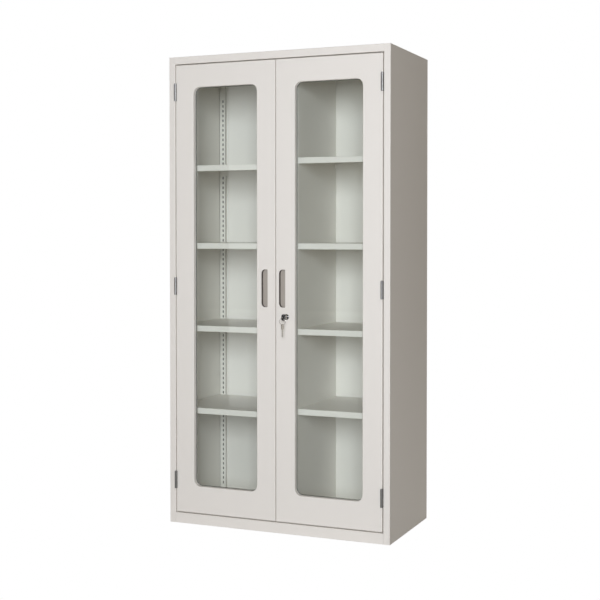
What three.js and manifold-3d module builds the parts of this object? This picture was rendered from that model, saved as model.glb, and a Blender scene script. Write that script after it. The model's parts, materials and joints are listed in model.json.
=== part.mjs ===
// Glass door medical cabinet: a folded sheet steel body with a divider, hung shelves and two
// glazed doors on butt hinges. Millimetres. x runs to the right, y to the back and z up.
// Pieces are drawn with the door faces at y = 0 and the floor at z = 0, and the outer group
// then moves the origin to the bottom centre of the whole object.

import * as THREE from 'three';
import { mergeVertices } from 'three/addons/utils/BufferGeometryUtils.js';
import Module from 'manifold-3d';

const wasm = await Module();
wasm.setup();

// Body
const cabinetWidth = 900;
const cabinetDepth = 450;
const cabinetHeight = 1800;
const sheet = 1; // body and door steel
const bendRadius = 2; // outside of each fold
const bendSteps = 3;
const arcSteps = 3; // half the straight pieces in one rounded corner of an outline
const weldGap = 0.3; // between sheets that are welded or seated
const jambWidth = 25;
const topRailHeight = 28;
const baseRailHeight = 40;
const floorFlange = 20; // turned in under the front and the back
const rearFlange = 20; // of the side panels
const topRearFlange = 25;
const sideFlange = 20; // of the top and base panels, against the side panels
const backInset = 15; // back panel's rear face in from the rear edge

// Doors
const doorGap = 4; // door edge to jamb and rails
const meetingGap = 3; // between the two doors
const doorThickness = 26;
const stileWidth = 76;
const windowTopMargin = 87;
const windowBottomMargin = 104;
const windowRadius = 25;
const cornerSteps = 4;
const revealDepth = 19; // how far the window edge is folded back
const stopClearance = 1; // closed door to its stop
const stopLip = 15; // stop below the top rail
const deckStep = 12; // cabinet floor above the base rail, the lower stop
const strikeDepth = 12; // behind the upper stop, where the bolt enters

// Glazing
const glassThickness = 4;
const glassOverlap = 12; // glass past the window edge on every side
const sealThickness = 1.2;
const sealWidth = 10;
const sealLip = 1.5; // seal standing into the window
const glassGap = 0.2; // seal to its neighbours

// Divider, uprights and shelves
const dividerFace = 72; // right face, right of the middle
const dividerThickness = 20;
const uprightSheet = 1.2;
const uprightWidth = 28;
const hookRoom = 10; // space behind a slotted leg
const slotFromWall = 16;
const slotWidth = 5;
const slotHeight = 10;
const slotPitch = 20;
const spareSlots = 1; // slots above and below the one that a shelf hangs in
const lowestShelfTop = 85; // shelf top when hung in the lowest slots
const leftShelfSteps = [18, 34, 50, 65];
const rightShelfSteps = [19, 34, 50, 66];
const shelfLip = 23;
const shelfLipReturn = 10;
const shelfSeat = 0.5;
const lugWidth = 4;
const lugHeight = 6;
const lugDrop = 16; // underside of a lug below the shelf top
const lugReach = 4; // lug past the sheet it hooks into
const dividerLugInset = 20; // lugs at the divider, in from the shelf's front and rear

// Hinges
const hingeFromTop = 104; // middle of the top hinge below the door's top edge
const hingeFromBottom = 124; // middle of the bottom hinge above the door's bottom edge
const hingeRise = 12; // middle hinge above the middle of the door
const hingeLength = 65;
const hingeKnuckles = 5;
const knuckleGap = 0.4;
const barrelRadius = 5.5;
const barrelBore = 3.1;
const barrelSides = 8;
const barrelOffFace = 0.3; // barrel in front of the door face
const pinRadius = 2.5;
const pinHeadRadius = 4.5;
const pinHeadHeight = 1.5;
const leafThickness = 1.2;
const leafSeat = 0.2;
const leafFront = 1.5;
const leafBack = 24;

// Pulls
const pullWidth = 25;
const pullHeight = 141;
const pullRise = 10.5; // middle of a pull above the middle of the door
const leftPullX = -45;
const rightPullX = 27;
const pullDepth = 14;
const pullWall = 1;
const pullFlange = 10;
const pullFlangeThickness = 1;
const pullSeat = 0.2;
const pullRoundWidth = 13; // elliptical corners on the left side
const pullRoundHeight = 16;
const pullSmallRadius = 3; // corners on the right side

// Lock and keys
const lockX = 44;
const lockBelowPull = 105.5; // lock below the middle of the pull
const roundSides = 20;
const circleSteps = roundSides / 2;
const rosetteRadius = 11;
const rosetteProud = 3;
const rosetteEdge = 1.5;
const lockRadius = 8;
const lockBehindLiner = 1.2;
const lockHoleClearance = 0.4;
const lockSeat = 0.2;
const plugRadius = 5;
const plugClearance = 0.3;
const nutRadius = 13; // across the corners
const nutThickness = 4;
const camLength = 56;
const camHubRadius = 9;
const camTipWidth = 12;
const camThickness = 2;
const camGap = 0.5; // cam behind the lock body
const camSquare = 5.6;
const screwRadius = 1.6;
const screwHeadRadius = 5;
const screwHeadHeight = 2.5;
const screwLength = 6;
const keyThickness = 2;
const keyHeight = 7;
const keyInLock = 20;
const keyNeck = 8; // bare steel between the lock and the head
const keyTang = 6; // inside the head
const headLength = 32;
const headHeight = 24;
const headThickness = 5;
const eyeRadius = 4.5;
const eyeFromEnd = 7;
const eyeDish = 1; // how far each side is dished round the eye
const eyeDishRadius = 7.5;
const ringRadius = 12;
const ringWire = 0.8;
const ringSag = 1.2; // ring clear of the eye, so that it can swing
const spareBowRadius = 11;
const spareEyeRadius = 3.5;
const spareRim = 2.5;
const spareLength = 50;
const spareBlade = 7;
const keyNotch = 1.5;
const keyNotchPitch = 4;
const keyShoulder = 2; // stop on each side of the neck

// Bolts on the left door
const boltRadius = 3.5;
const boltClearance = 0.4;
const boltInset = 20; // in from the meeting edge
const boltTipGap = 2; // tip short of its hole when drawn
const boltPastGuide = 10;
const boltTravel = 14;
const guideLength = 40;
const boltTail = 16; // bolt past its guide when shot, with the knob
const boltLength = boltPastGuide + guideLength + boltTravel + boltTail;
const guideWall = 1.6;
const guideFoot = 11; // foot past the barrel on each side
const guideFootThickness = 1.5;
const guideSeat = 0.2;
const knobRadius = 3;
const knobReach = 12;

// Places worked out from the sizes above
const halfWidth = cabinetWidth / 2;
const halfSheet = sheet / 2;
const wallX = halfWidth - sheet; // inner face of a side panel
const jambX = halfWidth - jambWidth; // door side of a jamb
const jambDepth = doorThickness;
const railEnd = jambX + bendRadius - weldGap;
const seatX = wallX - weldGap; // what stands against a side panel ends here
const railBottom = cabinetHeight - topRailHeight;
const stopY = doorThickness + stopClearance;
const strikeBottom = railBottom - stopLip;
const deckTop = baseRailHeight + deckStep;
const backFace = cabinetDepth - backInset - sheet; // inner face of the back panel
const rearSeat = cabinetDepth - bendRadius - weldGap; // what stands inside the rear corners ends here
const topUnderside = cabinetHeight - sheet;

const doorBounds = {
  inner: meetingGap / 2,
  outer: jambX - doorGap,
  bottom: baseRailHeight + doorGap,
  top: railBottom - doorGap,
};
const windowBounds = {
  inner: doorBounds.inner + stileWidth,
  outer: doorBounds.outer - stileWidth,
  bottom: doorBounds.bottom + windowBottomMargin,
  top: doorBounds.top - windowTopMargin,
};
const doorMiddle = (doorBounds.bottom + doorBounds.top) / 2;
const hingeHeights = {
  top: doorBounds.top - hingeFromTop,
  middle: doorMiddle + hingeRise,
  bottom: doorBounds.bottom + hingeFromBottom,
};
const pullCentreZ = doorMiddle + pullRise;
const lockZ = pullCentreZ - lockBelowPull;

const sealFront = revealDepth + glassGap;
const glassFront = sealFront + sealThickness + glassGap;
const linerFront = doorThickness - sheet;

const frontUprightY = stopY + strikeDepth + sheet + weldGap; // front face of the slotted leg
const rearUprightY = backFace - weldGap - hookRoom - uprightSheet;
const shelfFront = frontUprightY + uprightSheet + shelfSeat;
const shelfRear = rearUprightY - shelfSeat;
const slotX = wallX - slotFromWall;
const uprightTop = topUnderside - sideFlange - weldGap;
const dividerLeft = dividerFace - dividerThickness;

const hingeX = doorBounds.outer;
const hingeY = -(barrelRadius + barrelOffFace);

const boltX = -(doorBounds.inner + boltInset);
const boltY = doorThickness + guideSeat + guideFootThickness + boltClearance + boltRadius + weldGap;
const boltHole = boltRadius + boltClearance;

const keywayX = keyThickness / 2 + weldGap;
const keywayZ = keyHeight / 2 + weldGap;
const headEnd = rosetteProud + keyNeck + headLength;
const eyeY = -(headEnd - eyeFromEnd);
const ringTop = lockZ - eyeRadius + ringWire + ringSag;
const ringBottom = ringTop - 2 * ringRadius;
const keyReach = -eyeY + spareBowRadius; // furthest point in front of the doors
const frameShift = (cabinetDepth - keyReach) / 2;

// Colours and finishes
const finishes = {
  powderCoat: { color: 0xdcdad6, roughness: 0.45, metalness: 0 },
  zinc: { color: 0x9b9c9c, roughness: 0.35, metalness: 0.9 },
  chrome: { color: 0xc9cbcc, roughness: 0.15, metalness: 1 },
  nickel: { color: 0xb9b6ae, roughness: 0.3, metalness: 0.9 },
  rubber: { color: 0x2b2b2a, roughness: 0.8, metalness: 0 },
  blackPlastic: { color: 0x1d1d1e, roughness: 0.5, metalness: 0 },
  pull: { color: 0xb7b3a8, roughness: 0.4, metalness: 0.3 },
  glass: { color: 0xdfe8e2, roughness: 0.05, metalness: 0, transparent: true, opacity: 0.3 },
};

// Solids: joining, cutting and orientation

function closed(source) {
  const bare = source.clone();
  bare.deleteAttribute('normal');
  bare.deleteAttribute('uv');
  const merged = mergeVertices(bare, 1e-4);
  const corners = merged.index.array;
  const kept = [];
  for (let i = 0; i < corners.length; i += 3) {
    const [a, b, c] = corners.slice(i, i + 3);
    if (a !== b && b !== c && c !== a) kept.push(a, b, c);
  }
  merged.setIndex(kept);
  if (signedVolume(merged) < 0) merged.setIndex(kept.reverse());
  return merged;
}

function signedVolume(geometry) {
  const position = geometry.attributes.position;
  const corners = geometry.index.array;
  const at = (i) => new THREE.Vector3().fromBufferAttribute(position, corners[i]);
  let sum = 0;
  for (let i = 0; i < corners.length; i += 3) {
    sum += at(i).dot(at(i + 1).cross(at(i + 2))) / 6;
  }
  return sum;
}

function solid(geometry) {
  const shell = closed(geometry);
  return new wasm.Manifold(
    new wasm.Mesh({
      numProp: 3,
      vertProperties: new Float32Array(shell.attributes.position.array),
      triVerts: new Uint32Array(shell.index.array),
    }),
  );
}

function geometryOf(body) {
  const mesh = body.getMesh();
  const geometry = new THREE.BufferGeometry();
  geometry.setAttribute('position', new THREE.BufferAttribute(mesh.vertProperties, 3));
  geometry.setIndex(new THREE.BufferAttribute(mesh.triVerts, 1));
  return geometry;
}

function join(first, ...others) {
  return geometryOf(others.reduce((body, other) => body.add(solid(other)), solid(first)));
}

function cut(first, ...cutters) {
  return geometryOf(cutters.reduce((body, cutter) => body.subtract(solid(cutter)), solid(first)));
}

// Basic shapes, placed by their own corner coordinates

function box([x0, x1], [y0, y1], [z0, z1]) {
  const geometry = new THREE.BoxGeometry(Math.abs(x1 - x0), y1 - y0, z1 - z0);
  return geometry.translate((x0 + x1) / 2, (y0 + y1) / 2, (z0 + z1) / 2);
}

function extruded(shape, depth, curveSegments) {
  return new THREE.ExtrudeGeometry(shape, { depth, bevelEnabled: false, curveSegments });
}

// A shape drawn in x and y, carried up from z0 to z1.
function alongZ(shape, z0, z1) {
  return extruded(shape, z1 - z0, arcSteps).translate(0, 0, z0);
}

// A shape drawn in y and z, carried across from x0 to x1.
function alongX(shape, x0, x1, curveSegments = arcSteps) {
  const turn = new THREE.Matrix4().makeBasis(
    new THREE.Vector3(0, 1, 0),
    new THREE.Vector3(0, 0, 1),
    new THREE.Vector3(1, 0, 0),
  );
  return extruded(shape, x1 - x0, curveSegments).applyMatrix4(turn).translate(x0, 0, 0);
}

// A shape drawn in x and z, carried back from y0 to y1.
function alongY(shape, y0, y1, curveSegments = arcSteps) {
  return extruded(shape, y1 - y0, curveSegments).rotateX(Math.PI / 2).translate(0, y1, 0);
}

// A round body on the y axis from [radius, y] points, closed back to the first.
function turned(profile, sides = roundSides) {
  const points = [...profile, profile[0]].map(([radius, y]) => new THREE.Vector2(radius, y));
  return new THREE.LatheGeometry(points, sides);
}

// The same on the z axis.
function turnedUpright(profile, sides) {
  return turned(profile, sides).rotateX(Math.PI / 2);
}

function circle(x, z, radius) {
  return new THREE.Path().absarc(x, z, radius, 0, 2 * Math.PI);
}

function rectangle(u0, u1, v0, v1) {
  const corners = [[u0, v0], [u1, v0], [u1, v1], [u0, v1]];
  return new THREE.Path(corners.map(([u, v]) => new THREE.Vector2(u, v)));
}

function plate(u0, u1, v0, v1) {
  return new THREE.Shape(rectangle(u0, u1, v0, v1).getPoints());
}

// The outline of a folded sheet: its middle line is given by corners, and each bend is rounded.
function foldedSheet(corners, thickness = sheet) {
  const path = corners.map(([u, v]) => new THREE.Vector2(u, v));
  const middleRadius = bendRadius - thickness / 2;
  const stations = [];
  for (let leg = 0; leg + 1 < path.length; leg += 1) {
    const along = path[leg + 1].clone().sub(path[leg]).normalize();
    const normal = new THREE.Vector2(-along.y, along.x);
    if (leg === 0) stations.push({ at: path[0], normal });
    if (leg + 2 === path.length) {
      stations.push({ at: path[leg + 1], normal });
      continue;
    }
    const next = path[leg + 2].clone().sub(path[leg + 1]).normalize();
    const turn = Math.atan2(along.cross(next), along.dot(next));
    const side = Math.sign(turn);
    const back = middleRadius * Math.tan(Math.abs(turn) / 2);
    const start = path[leg + 1].clone().addScaledVector(along, -back);
    const centre = start.clone().addScaledVector(normal, side * middleRadius);
    const origin = new THREE.Vector2();
    for (let step = 0; step <= bendSteps; step += 1) {
      const angle = (turn * step) / bendSteps;
      stations.push({
        at: start.clone().rotateAround(centre, angle),
        normal: normal.clone().rotateAround(origin, angle),
      });
    }
  }
  const offset = (distance) =>
    stations.map(({ at, normal }) => at.clone().addScaledVector(normal, distance));
  return new THREE.Shape([...offset(thickness / 2), ...offset(-thickness / 2).reverse()]);
}

// A closed loop in the plane of a door: a rectangle with round corners, on one side of the middle.
function doorLoop(side, bounds, grow, radius, y) {
  const inner = side * (bounds.inner - grow);
  const outer = side * (bounds.outer + grow);
  const x0 = Math.min(inner, outer);
  const x1 = Math.max(inner, outer);
  const z0 = bounds.bottom - grow;
  const z1 = bounds.top + grow;
  const centres = [[x1 - radius, z0 + radius], [x1 - radius, z1 - radius],
    [x0 + radius, z1 - radius], [x0 + radius, z0 + radius]];
  return centres.flatMap(([x, z], corner) =>
    Array.from({ length: cornerSteps + 1 }, (_, step) => {
      const angle = (Math.PI / 2) * (corner - 1 + step / cornerSteps);
      return new THREE.Vector3(x + radius * Math.cos(angle), y, z + radius * Math.sin(angle));
    }));
}

// A ring whose section is given by loops of equally many points, the last joined to the first.
function lofted(loops) {
  const count = loops[0].length;
  const corners = [];
  loops.forEach((_, ring) => {
    const next = (ring + 1) % loops.length;
    for (let i = 0; i < count; i += 1) {
      const j = (i + 1) % count;
      const [a, b] = [ring * count + i, ring * count + j];
      const [c, d] = [next * count + i, next * count + j];
      corners.push(a, b, d, a, d, c);
    }
  });
  const geometry = new THREE.BufferGeometry().setFromPoints(loops.flat());
  geometry.setIndex(corners);
  return closed(geometry);
}

const outerLoop = (side, grow, y) =>
  doorLoop(side, doorBounds, grow, Math.max(bendRadius + grow, weldGap), y);
const windowLoop = (side, grow, y) =>
  doorLoop(side, windowBounds, grow, windowRadius + grow, y);

// Nodes

function piece(group, name, geometry, finish) {
  const mesh = new THREE.Mesh(geometry, new THREE.MeshStandardMaterial(finishes[finish]));
  mesh.name = name;
  group.add(mesh);
  return mesh;
}

const sides = { left: -1, right: 1 };
const shelfSteps = { left: leftShelfSteps, right: rightShelfSteps };

// Body panels

function sidePanel(side) {
  const outline = foldedSheet([
    [side * (jambX + halfSheet), jambDepth],
    [side * (jambX + halfSheet), halfSheet],
    [side * (halfWidth - halfSheet), halfSheet],
    [side * (halfWidth - halfSheet), cabinetDepth - halfSheet],
    [side * (halfWidth - rearFlange), cabinetDepth - halfSheet],
  ]);
  const notchX = [side * (jambX - sheet), side * (railEnd + weldGap)];
  const notchY = [-sheet, jambDepth + sheet];
  return cut(
    alongZ(outline, 0, cabinetHeight),
    box(notchX, notchY, [-sheet, baseRailHeight + weldGap]),
    box(notchX, notchY, [railBottom - weldGap, cabinetHeight + sheet]),
  );
}

// Sheet that fills in beside a jamb, and the flange turned down from it.
function sheetEnds(y0, y1, sheetZ, flangeY1) {
  return Object.values(sides).flatMap((side) => [
    box([side * jambX, side * seatX], [y0, y1], [sheetZ, sheetZ + sheet]),
    box([side * (seatX - sheet), side * seatX], [y0 + jambDepth, flangeY1],
      [sheetZ - sideFlange, sheetZ + halfSheet]),
  ]);
}

function boltHoleAt(z) {
  const hole = turnedUpright([[0, -sheet], [boltHole, -sheet], [boltHole, sheet], [0, sheet]],
    barrelSides);
  return hole.translate(boltX, boltY, z);
}

function topPanel() {
  const outline = foldedSheet([
    [stopY + strikeDepth, strikeBottom + halfSheet],
    [stopY + halfSheet, strikeBottom + halfSheet],
    [stopY + halfSheet, railBottom + halfSheet],
    [halfSheet, railBottom + halfSheet],
    [halfSheet, cabinetHeight - halfSheet],
    [cabinetDepth - halfSheet, cabinetHeight - halfSheet],
    [cabinetDepth - halfSheet, cabinetHeight - topRearFlange],
  ]);
  const ends = sheetEnds(sheet + weldGap, rearSeat, topUnderside, backFace - weldGap);
  return cut(
    join(alongX(outline, -railEnd, railEnd), ...ends),
    boltHoleAt(strikeBottom + halfSheet),
  );
}

function basePanel() {
  const outline = foldedSheet([
    [floorFlange, halfSheet],
    [halfSheet, halfSheet],
    [halfSheet, baseRailHeight - halfSheet],
    [stopY + halfSheet, baseRailHeight - halfSheet],
    [stopY + halfSheet, deckTop - halfSheet],
    [cabinetDepth - halfSheet, deckTop - halfSheet],
    [cabinetDepth - halfSheet, halfSheet],
    [cabinetDepth - floorFlange, halfSheet],
  ]);
  const ends = sheetEnds(stopY + bendRadius, rearSeat, deckTop - sheet, backFace);
  return cut(
    join(alongX(outline, -railEnd, railEnd), ...ends),
    boltHoleAt(deckTop - halfSheet),
  );
}

function backPanel() {
  const edge = seatX - halfSheet;
  const outline = foldedSheet([
    [-edge, rearSeat],
    [-edge, backFace + halfSheet],
    [edge, backFace + halfSheet],
    [edge, rearSeat],
  ]);
  return alongZ(outline, deckTop + weldGap, topUnderside - weldGap);
}

// Shelf places

const shelfTop = (step) => lowestShelfTop + step * slotPitch;
const slotBottom = (step) => shelfTop(step) - lugDrop - weldGap;
const dividerLugY = [shelfFront + dividerLugInset, shelfRear - dividerLugInset];

function dividerPanel() {
  const outline = foldedSheet([
    [dividerLeft + halfSheet, backFace - weldGap],
    [dividerLeft + halfSheet, shelfFront + halfSheet],
    [dividerFace - halfSheet, shelfFront + halfSheet],
    [dividerFace - halfSheet, backFace - weldGap],
  ]);
  const slots = (face, steps) => steps.flatMap((step) => dividerLugY.map((y) =>
    box([face - 2 * sheet, face + 2 * sheet], [y - slotWidth / 2, y + slotWidth / 2],
      [slotBottom(step), slotBottom(step) + slotHeight])));
  return cut(
    alongZ(outline, deckTop + weldGap, topUnderside - weldGap),
    ...slots(dividerLeft, leftShelfSteps),
    ...slots(dividerFace, rightShelfSteps),
  );
}

const slotSteps = (steps) => steps.flatMap((step) =>
  Array.from({ length: 2 * spareSlots + 1 }, (_, i) => step + i - spareSlots));

// Slots in a leg that faces along y, with one more leg at each of the given places along x.
function upright(side, steps, faceY, legPlaces, legY) {
  const wall = side * seatX;
  const edge = side * (seatX - uprightWidth);
  const bottom = deckTop + weldGap;
  const face = plate(Math.min(wall, edge), Math.max(wall, edge), bottom, uprightTop);
  for (const step of slotSteps(steps)) {
    const x = side * slotX;
    const z = slotBottom(step);
    face.holes.push(rectangle(x - slotWidth / 2, x + slotWidth / 2, z, z + slotHeight));
  }
  const legs = legPlaces.map((x) =>
    box([side * (x - uprightSheet), side * x], legY, [bottom, uprightTop]));
  return join(alongY(face, faceY, faceY + uprightSheet), ...legs);
}

// A folded tray with its top at z = 0, hung by lugs from the uprights and the divider.
function shelf(side) {
  const wallEnd = side * (seatX - uprightSheet - weldGap);
  const dividerSide = side < 0 ? dividerLeft : dividerFace;
  const dividerEnd = dividerSide + side * weldGap;
  const [x0, x1] = [Math.min(wallEnd, dividerEnd), Math.max(wallEnd, dividerEnd)];
  const outline = foldedSheet([
    [shelfFront + shelfLipReturn, halfSheet - shelfLip],
    [shelfFront + halfSheet, halfSheet - shelfLip],
    [shelfFront + halfSheet, -halfSheet],
    [shelfRear - halfSheet, -halfSheet],
    [shelfRear - halfSheet, -shelfLip],
  ]);
  const flangeY = [shelfFront + bendRadius, shelfRear - bendRadius];
  const flangeZ = [-shelfLip + bendRadius, -halfSheet];
  const lugZ = [-lugDrop, lugHeight - lugDrop];
  const hookX = [side * slotX - lugWidth / 2, side * slotX + lugWidth / 2];
  const hookReach = shelfSeat + uprightSheet + lugReach;
  const dividerLugX = [dividerEnd + (side * sheet) / 2,
    dividerEnd - side * (weldGap + sheet + lugReach)];
  const dividerLugs = dividerLugY.map((y) =>
    box(dividerLugX, [y - lugWidth / 2, y + lugWidth / 2], lugZ));
  return join(
    alongX(outline, x0, x1),
    box([x0, x0 + sheet], flangeY, flangeZ),
    box([x1 - sheet, x1], flangeY, flangeZ),
    box(hookX, [shelfFront - hookReach, shelfFront + halfSheet], lugZ),
    box(hookX, [shelfRear - halfSheet, shelfRear + hookReach], lugZ),
    ...dividerLugs,
  );
}

// Doors

// The skin's section runs from the rear of its outer fold, over the face, into the window fold.
function doorSkin(side, pullX) {
  const inside = bendRadius - sheet;
  const quarter = Array.from({ length: bendSteps + 1 }, (_, i) => (Math.PI / 2) * (i / bendSteps));
  const back = [...quarter].reverse();
  const edge = (radius) => (angle) => outerLoop(side,
    radius * Math.cos(angle) - bendRadius, bendRadius - radius * Math.sin(angle));
  const rim = (radius) => (angle) => windowLoop(side,
    bendRadius - radius * Math.sin(angle), bendRadius - radius * Math.cos(angle));
  const skin = lofted([
    outerLoop(side, 0, doorThickness),
    ...quarter.map(edge(bendRadius)),
    ...quarter.map(rim(bendRadius)),
    windowLoop(side, 0, revealDepth),
    windowLoop(side, sheet, revealDepth),
    ...back.map(rim(inside)),
    ...back.map(edge(inside)),
    outerLoop(side, -sheet, doorThickness),
  ]);
  const cutters = [alongY(pullOutline(pullX, pullWall + weldGap), -sheet, 2 * sheet)];
  if (side > 0) cutters.push(lockHole(-sheet, 2 * sheet));
  return cut(skin, ...cutters);
}

function doorLiner(side) {
  const fit = -(sheet + weldGap);
  const liner = lofted([
    outerLoop(side, fit, linerFront),
    windowLoop(side, 0, linerFront),
    windowLoop(side, 0, doorThickness),
    outerLoop(side, fit, doorThickness),
  ]);
  return side > 0 ? cut(liner, lockHole(linerFront - sheet, doorThickness + sheet)) : liner;
}

function windowSeal(side) {
  const sealBack = sealFront + sealThickness;
  return lofted([
    windowLoop(side, -sealLip, sealFront),
    windowLoop(side, sealWidth, sealFront),
    windowLoop(side, sealWidth, sealBack),
    windowLoop(side, -sealLip, sealBack),
  ]);
}

function windowGlass(side) {
  const x = [side * (windowBounds.inner - glassOverlap), side * (windowBounds.outer + glassOverlap)];
  const z = [windowBounds.bottom - glassOverlap, windowBounds.top + glassOverlap];
  return box(x, [glassFront, glassFront + glassThickness], z);
}

// Recessed pull: a cup with elliptical left corners and a flat flange round its mouth.
function pullOutline(x, grow) {
  const [x0, x1] = [x - pullWidth / 2 - grow, x + pullWidth / 2 + grow];
  const [z0, z1] = [pullCentreZ - pullHeight / 2 - grow, pullCentreZ + pullHeight / 2 + grow];
  const [a, b] = [pullRoundWidth + grow, pullRoundHeight + grow];
  const r = pullSmallRadius + grow;
  const quarter = Math.PI / 2;
  return new THREE.Shape()
    .absellipse(x1 - r, z0 + r, r, r, -quarter, 0)
    .absellipse(x1 - r, z1 - r, r, r, 0, quarter)
    .absellipse(x0 + a, z1 - b, a, b, quarter, 2 * quarter)
    .absellipse(x0 + a, z0 + b, a, b, 2 * quarter, 3 * quarter);
}

function pullCup(x) {
  const flangeFront = -(pullSeat + pullFlangeThickness);
  return cut(
    join(
      alongY(pullOutline(x, pullFlange), flangeFront, -pullSeat),
      alongY(pullOutline(x, pullWall), flangeFront, pullDepth + pullWall),
    ),
    alongY(pullOutline(x, 0), flangeFront - sheet, pullDepth),
  );
}

// Hinges, drawn round their own axis with the middle of the barrel at z = 0

const knucklePitch = (hingeLength + knuckleGap) / hingeKnuckles;

function hingeLeaf(side, leafX, firstKnuckle) {
  const x = [side * leafX, side * (leafX + leafThickness)];
  const half = hingeLength / 2;
  const parts = [box(x, [leafFront - hingeY, leafBack - hingeY], [-half, half])];
  for (let index = firstKnuckle; index < hingeKnuckles; index += 2) {
    const z0 = index * knucklePitch - half;
    const z1 = z0 + knucklePitch - knuckleGap;
    parts.push(turnedUpright([[barrelBore, z0], [barrelRadius, z0], [barrelRadius, z1],
      [barrelBore, z1]], barrelSides));
    parts.push(box(x, [barrelBore + weldGap, leafFront - hingeY + sheet], [z0, z1]));
  }
  return join(...parts);
}

function hingePin() {
  const top = hingeLength / 2 + weldGap;
  const bottom = -hingeLength / 2;
  return turnedUpright([[0, bottom], [pinRadius, bottom], [pinRadius, top],
    [pinHeadRadius, top], [pinHeadRadius, top + pinHeadHeight], [0, top + pinHeadHeight]],
  barrelSides);
}

// Lock and keys

function onLockAxis(geometry) {
  return geometry.translate(lockX, 0, lockZ);
}

function lockHole(y0, y1) {
  const radius = lockRadius + lockHoleClearance;
  return onLockAxis(turned([[0, y0], [radius, y0], [radius, y1], [0, y1]]));
}

const lockBack = doorThickness + lockBehindLiner;
const camFront = lockBack + camGap;
const camBack = camFront + camThickness;

function lockBody() {
  const bore = plugRadius + plugClearance;
  return onLockAxis(turned([
    [bore, -rosetteProud], [rosetteRadius - rosetteEdge, -rosetteProud],
    [rosetteRadius, rosetteEdge - rosetteProud], [rosetteRadius, -lockSeat],
    [lockRadius, -lockSeat], [lockRadius, lockBack], [bore, lockBack],
  ]));
}

function lockNut() {
  const corners = Array.from({ length: 6 }, (_, i) => new THREE.Vector2(nutRadius, 0)
    .rotateAround(new THREE.Vector2(), (Math.PI / 3) * i));
  const shape = new THREE.Shape(corners);
  shape.holes.push(circle(0, 0, lockRadius + lockHoleClearance));
  return onLockAxis(alongY(shape, sheet + weldGap, sheet + weldGap + nutThickness, circleSteps));
}

function lockPlug() {
  const front = -(rosetteProud + weldGap);
  const half = camSquare / 2;
  const tailEnd = camBack + weldGap;
  const hole = screwRadius + weldGap;
  const body = join(
    turned([[0, front], [plugRadius, front], [plugRadius, lockBack + weldGap], [0, lockBack + weldGap]]),
    box([-half, half], [lockBack - sheet, tailEnd], [-half, half]),
  );
  return onLockAxis(cut(
    body,
    box([-keywayX, keywayX], [front - sheet, keyInLock - rosetteProud + weldGap], [-keywayZ, keywayZ]),
    turned([[0, tailEnd - screwLength], [hole, tailEnd - screwLength], [hole, tailEnd + sheet],
      [0, tailEnd + sheet]], barrelSides),
  ));
}

// The cam hangs down when the lock is open, and swings behind the left door when it is locked.
function lockCam() {
  const half = camSquare / 2 + weldGap;
  const tip = camTipWidth / 2;
  const shape = new THREE.Shape()
    .absarc(0, 0, camHubRadius, 0, Math.PI)
    .absarc(0, tip - camLength, tip, Math.PI, 2 * Math.PI);
  shape.holes.push(rectangle(-half, half, -half, half));
  return onLockAxis(alongY(shape, camFront, camBack));
}

function camScrew() {
  const seat = camBack + 2 * weldGap;
  const end = seat + weldGap - screwLength;
  return onLockAxis(turned([[0, end], [screwRadius, end], [screwRadius, seat],
    [screwHeadRadius, seat], [screwHeadRadius, seat + screwHeadHeight], [0, seat + screwHeadHeight]],
  barrelSides));
}

// The cut edge of a key: [distance along the blade, depth of cut] up to the given length.
function keyCuts(length) {
  const count = Math.floor(length / keyNotchPitch);
  const cuts = Array.from({ length: count }, (_, i) =>
    [[i * keyNotchPitch, 0], [(i + 0.5) * keyNotchPitch, keyNotch]]);
  return [...cuts.flat(), [count * keyNotchPitch, 0]];
}

function keyBlade() {
  const half = keyHeight / 2;
  const tip = keyInLock - rosetteProud;
  const shoulder = -(rosetteProud + 2 * weldGap);
  const head = -(rosetteProud + keyNeck);
  const cutStart = tip - half;
  const outline = [
    [tip, 0],
    ...keyCuts(cutStart).map(([along, depth]) => [cutStart - along, half - depth]),
    [shoulder, half], [shoulder, half + keyShoulder], [head, half + keyShoulder], [head, half],
    [head - keyTang, half], [head - keyTang, -half],
    [head, -half], [head, -half - keyShoulder], [shoulder, -half - keyShoulder], [shoulder, -half],
    [cutStart, -half],
  ];
  const shape = new THREE.Shape(outline.map(([y, z]) => new THREE.Vector2(y, z)));
  return onLockAxis(alongX(shape, -keyThickness / 2, keyThickness / 2));
}

function keyHead() {
  const near = -(rosetteProud + keyNeck + weldGap);
  const centreY = (near - headEnd) / 2;
  const shape = new THREE.Shape()
    .absellipse(centreY, 0, (near + headEnd) / 2, headHeight / 2, 0, 2 * Math.PI);
  shape.holes.push(circle(eyeY, 0, eyeRadius));
  const half = headThickness / 2;
  const dish = (x0, x1) => alongX(
    new THREE.Shape(circle(eyeY, 0, eyeDishRadius).getPoints(circleSteps)), x0, x1);
  return onLockAxis(cut(
    alongX(shape, -half, half, circleSteps),
    box([-keywayX, keywayX], [-(rosetteProud + keyNeck + keyTang + weldGap), 0], [-keywayZ, keywayZ]),
    dish(half - eyeDish, half + eyeDish),
    dish(-half - eyeDish, eyeDish - half),
  ));
}

function keyRing() {
  const ring = new THREE.TorusGeometry(ringRadius, ringWire, 6, roundSides).rotateX(Math.PI / 2);
  return closed(ring).translate(lockX, eyeY, ringTop - ringRadius);
}

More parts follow.
